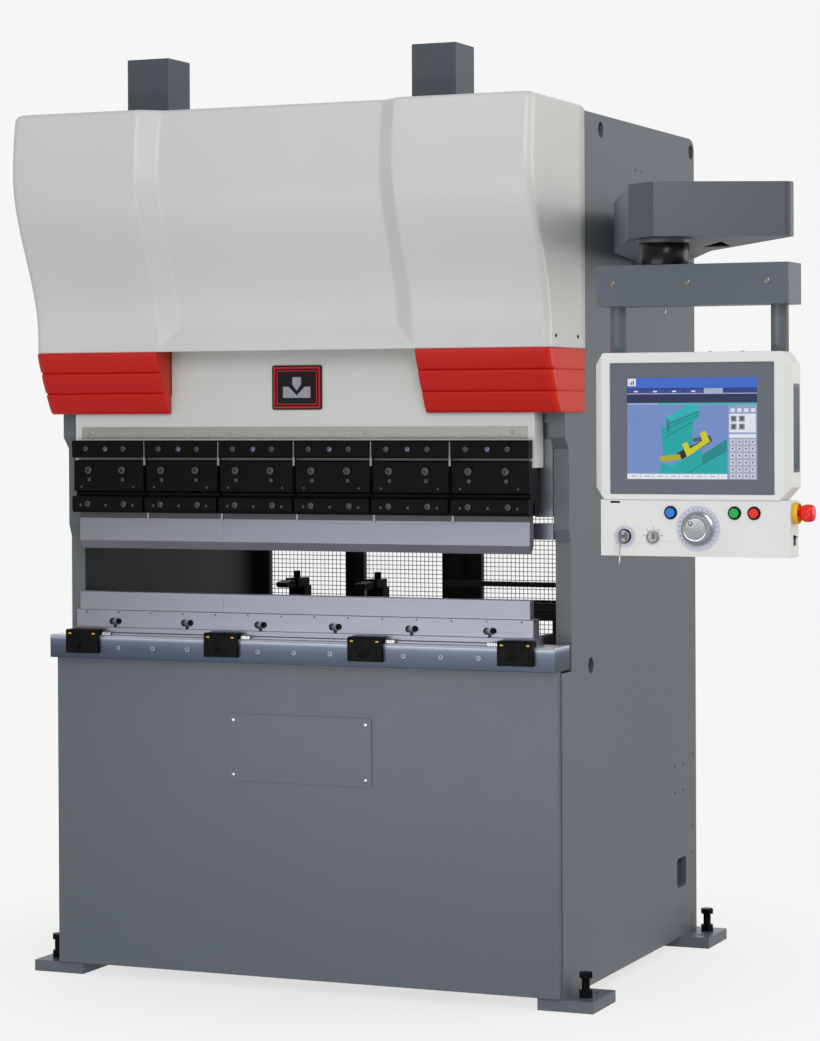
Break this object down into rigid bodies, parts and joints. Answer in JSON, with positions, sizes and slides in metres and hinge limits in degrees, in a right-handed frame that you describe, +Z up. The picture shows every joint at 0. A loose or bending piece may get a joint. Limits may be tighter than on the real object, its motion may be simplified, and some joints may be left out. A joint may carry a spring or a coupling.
{
  "type": "press brake",
  "caption": "Upright press brake with a screw-driven ram, clamped punches, a die on a front table, a rear backgauge with fingers and an operator panel on a swing arm.",
  "frame": {"origin": "on the floor, in the middle of the four anchor holes in the foot plates", "axes": "+X to the operator's right along the bending line, +Y to the rear, +Z up"},
  "size_m": [2.224, 1.664, 2.372],
  "materials": {
    "frame_paint": "satin blue-grey structure paint",
    "hood_paint": "satin light grey enamel",
    "trim_red": "semi-gloss red moulding",
    "table_steel": "brushed, with a bright top edge",
    "tool_steel": "fine ground",
    "black_oxide": "black oxide",
    "dark_steel": "machined, oiled",
    "door_black": "black powder coat",
    "black_plastic": "moulded",
    "panel_white": "fine-texture off-white paint",
    "bezel_grey": "matt blue-grey",
    "screen": "lit display",
    "knob_metal": "satin chrome",
    "blue_cap": "gloss",
    "green_cap": "gloss",
    "red_cap": "gloss"
  },
  "bodies": {
    "frame": {"side_plate_left": "frame_paint", "side_plate_right": "frame_paint", "apron": "frame_paint", "apron_cover": "frame_paint", "bed_beam": "frame_paint", "table_bar": "table_steel", "die_base": "tool_steel", "die_holder": "tool_steel", "dies": "tool_steel", "top_beam": "frame_paint", "rear_beam": "frame_paint", "rear_covers": "frame_paint", "top_cover": "frame_paint", "hood_shell": "hood_paint", "trim_left": "trim_red", "trim_right": "trim_red", "motor_cover_left": "frame_paint", "motor_cover_right": "frame_paint", "servo_motors": "black_plastic", "bearing_housings": "dark_steel", "ram_guides": "tool_steel", "foot_plates": "frame_paint", "levelling_screws": "black_oxide", "arm_bracket": "frame_paint", "gauge_rails": "dark_steel"},
    "ram_group": {"ram": "hood_paint", "ruler": "tool_steel", "ram_badge": "black_plastic", "holder_bodies": "black_oxide", "holder_clamps": "black_oxide", "punches": "tool_steel", "ball_nuts": "dark_steel"},
    "screw_left": {"ball_screw_left": "tool_steel"},
    "screw_right": {"ball_screw_right": "tool_steel"},
    "door_left": {"rear_door_left": "door_black"},
    "door_right": {"rear_door_right": "door_black"},
    "gauge": {"gauge_beam": "door_black", "drag_chain": "black_plastic"},
    "gauge_finger_left": {"finger_left": "black_oxide"},
    "gauge_finger_right": {"finger_right": "black_oxide"},
    "sheet_stop_1": {"stop_1": "black_oxide"},
    "sheet_stop_2": {"stop_2": "black_oxide"},
    "sheet_stop_3": {"stop_3": "black_oxide"},
    "sheet_stop_4": {"stop_4": "black_oxide"},
    "arm": {"swing_arm": "frame_paint"},
    "panel": {"swivel_hub": "black_plastic", "panel_hanger": "frame_paint", "panel_housing": "panel_white", "panel_bezel": "bezel_grey", "display": "screen", "control_box": "panel_white"},
    "blue_push": {"blue_button": "blue_cap"},
    "green_push": {"green_button": "green_cap"},
    "red_push": {"red_button": "red_cap"},
    "emergency_stop": {"stop_mushroom": "red_cap"},
    "jog": {"jog_wheel": "knob_metal"},
    "mode": {"mode_selector": "knob_metal"},
    "key": {"key_switch": "knob_metal"},
    "rocker": {"power_rocker": "black_plastic"}
  },
  "joints": [
    {"name": "ram_slide", "type": "slide", "parent": "frame", "child": "ram_group", "axis": [0, 0, 1], "range_m": [-0.11, 0.04]},
    {"name": "screw_left_turn", "type": "hinge", "parent": "frame", "child": "screw_left", "pos_m": [-0.3955, -0.558, 2.1], "axis": [0, 0, 1], "range_deg": [-730, 1990]},
    {"name": "screw_right_turn", "type": "hinge", "parent": "frame", "child": "screw_right", "pos_m": [0.3955, -0.558, 2.1], "axis": [0, 0, 1], "range_deg": [-730, 1990]},
    {"name": "door_left_swing", "type": "hinge", "parent": "frame", "child": "door_left", "pos_m": [-0.677, 0.539, 1], "axis": [0, 0, 1], "range_deg": [0, 110]},
    {"name": "door_right_swing", "type": "hinge", "parent": "frame", "child": "door_right", "pos_m": [0.677, 0.539, 1], "axis": [0, 0, 1], "range_deg": [-110, 0]},
    {"name": "gauge_depth", "type": "slide", "parent": "frame", "child": "gauge", "axis": [0, 1, 0], "range_m": [-0.1, 0.4]},
    {"name": "finger_left_shift", "type": "slide", "parent": "gauge", "child": "gauge_finger_left", "axis": [1, 0, 0], "range_m": [-0.4, 0.08]},
    {"name": "finger_right_shift", "type": "slide", "parent": "gauge", "child": "gauge_finger_right", "axis": [1, 0, 0], "range_m": [-0.08, 0.45]},
    {"name": "stop_1_shift", "type": "slide", "parent": "frame", "child": "sheet_stop_1", "axis": [1, 0, 0], "range_m": [-0.05, 0.12]},
    {"name": "stop_2_shift", "type": "slide", "parent": "frame", "child": "sheet_stop_2", "axis": [1, 0, 0], "range_m": [-0.12, 0.12]},
    {"name": "stop_3_shift", "type": "slide", "parent": "frame", "child": "sheet_stop_3", "axis": [1, 0, 0], "range_m": [-0.12, 0.12]},
    {"name": "stop_4_shift", "type": "slide", "parent": "frame", "child": "sheet_stop_4", "axis": [1, 0, 0], "range_m": [-0.12, 0.05]},
    {"name": "arm_swing", "type": "hinge", "parent": "frame", "child": "arm", "pos_m": [0.772, 0.089, 1.9], "axis": [0, 0, 1], "range_deg": [-6, 80]},
    {"name": "panel_swivel", "type": "hinge", "parent": "arm", "child": "panel", "pos_m": [1.095, -0.95, 1.85], "axis": [0, 0, 1], "range_deg": [-70, 70]},
    {"name": "blue_press", "type": "slide", "parent": "panel", "child": "blue_push", "axis": [0, 1, 0], "range_m": [0, 0.004], "stiffness_N_per_m": 900},
    {"name": "green_press", "type": "slide", "parent": "panel", "child": "green_push", "axis": [0, 1, 0], "range_m": [0, 0.004], "stiffness_N_per_m": 900},
    {"name": "red_press", "type": "slide", "parent": "panel", "child": "red_push", "axis": [0, 1, 0], "range_m": [0, 0.004], "stiffness_N_per_m": 900},
    {"name": "emergency_press", "type": "slide", "parent": "panel", "child": "emergency_stop", "axis": [-1, 0, 0], "range_m": [0, 0.006], "stiffness_N_per_m": 2000},
    {"name": "jog_turn", "type": "hinge", "parent": "panel", "child": "jog", "pos_m": [1.1868, -0.998, 1.203], "axis": [0, -1, 0], "continuous": true},
    {"name": "mode_turn", "type": "hinge", "parent": "panel", "child": "mode", "pos_m": [1.0814, -0.998, 1.183], "axis": [0, -1, 0], "range_deg": [-60, 60]},
    {"name": "key_turn", "type": "hinge", "parent": "panel", "child": "key", "pos_m": [1.013, -0.998, 1.184], "axis": [0, -1, 0], "range_deg": [0, 90]},
    {"name": "rocker_tilt", "type": "hinge", "parent": "panel", "child": "rocker", "pos_m": [1.399, -0.964, 1.178], "axis": [0, 1, 0], "range_deg": [-16, 0]}
  ],
  "couplings": [
    {"joint": "screw_left_turn", "follows": "ram_slide", "rad_per_m": -314.16},
    {"joint": "screw_right_turn", "follows": "ram_slide", "rad_per_m": -314.16}
  ]
}
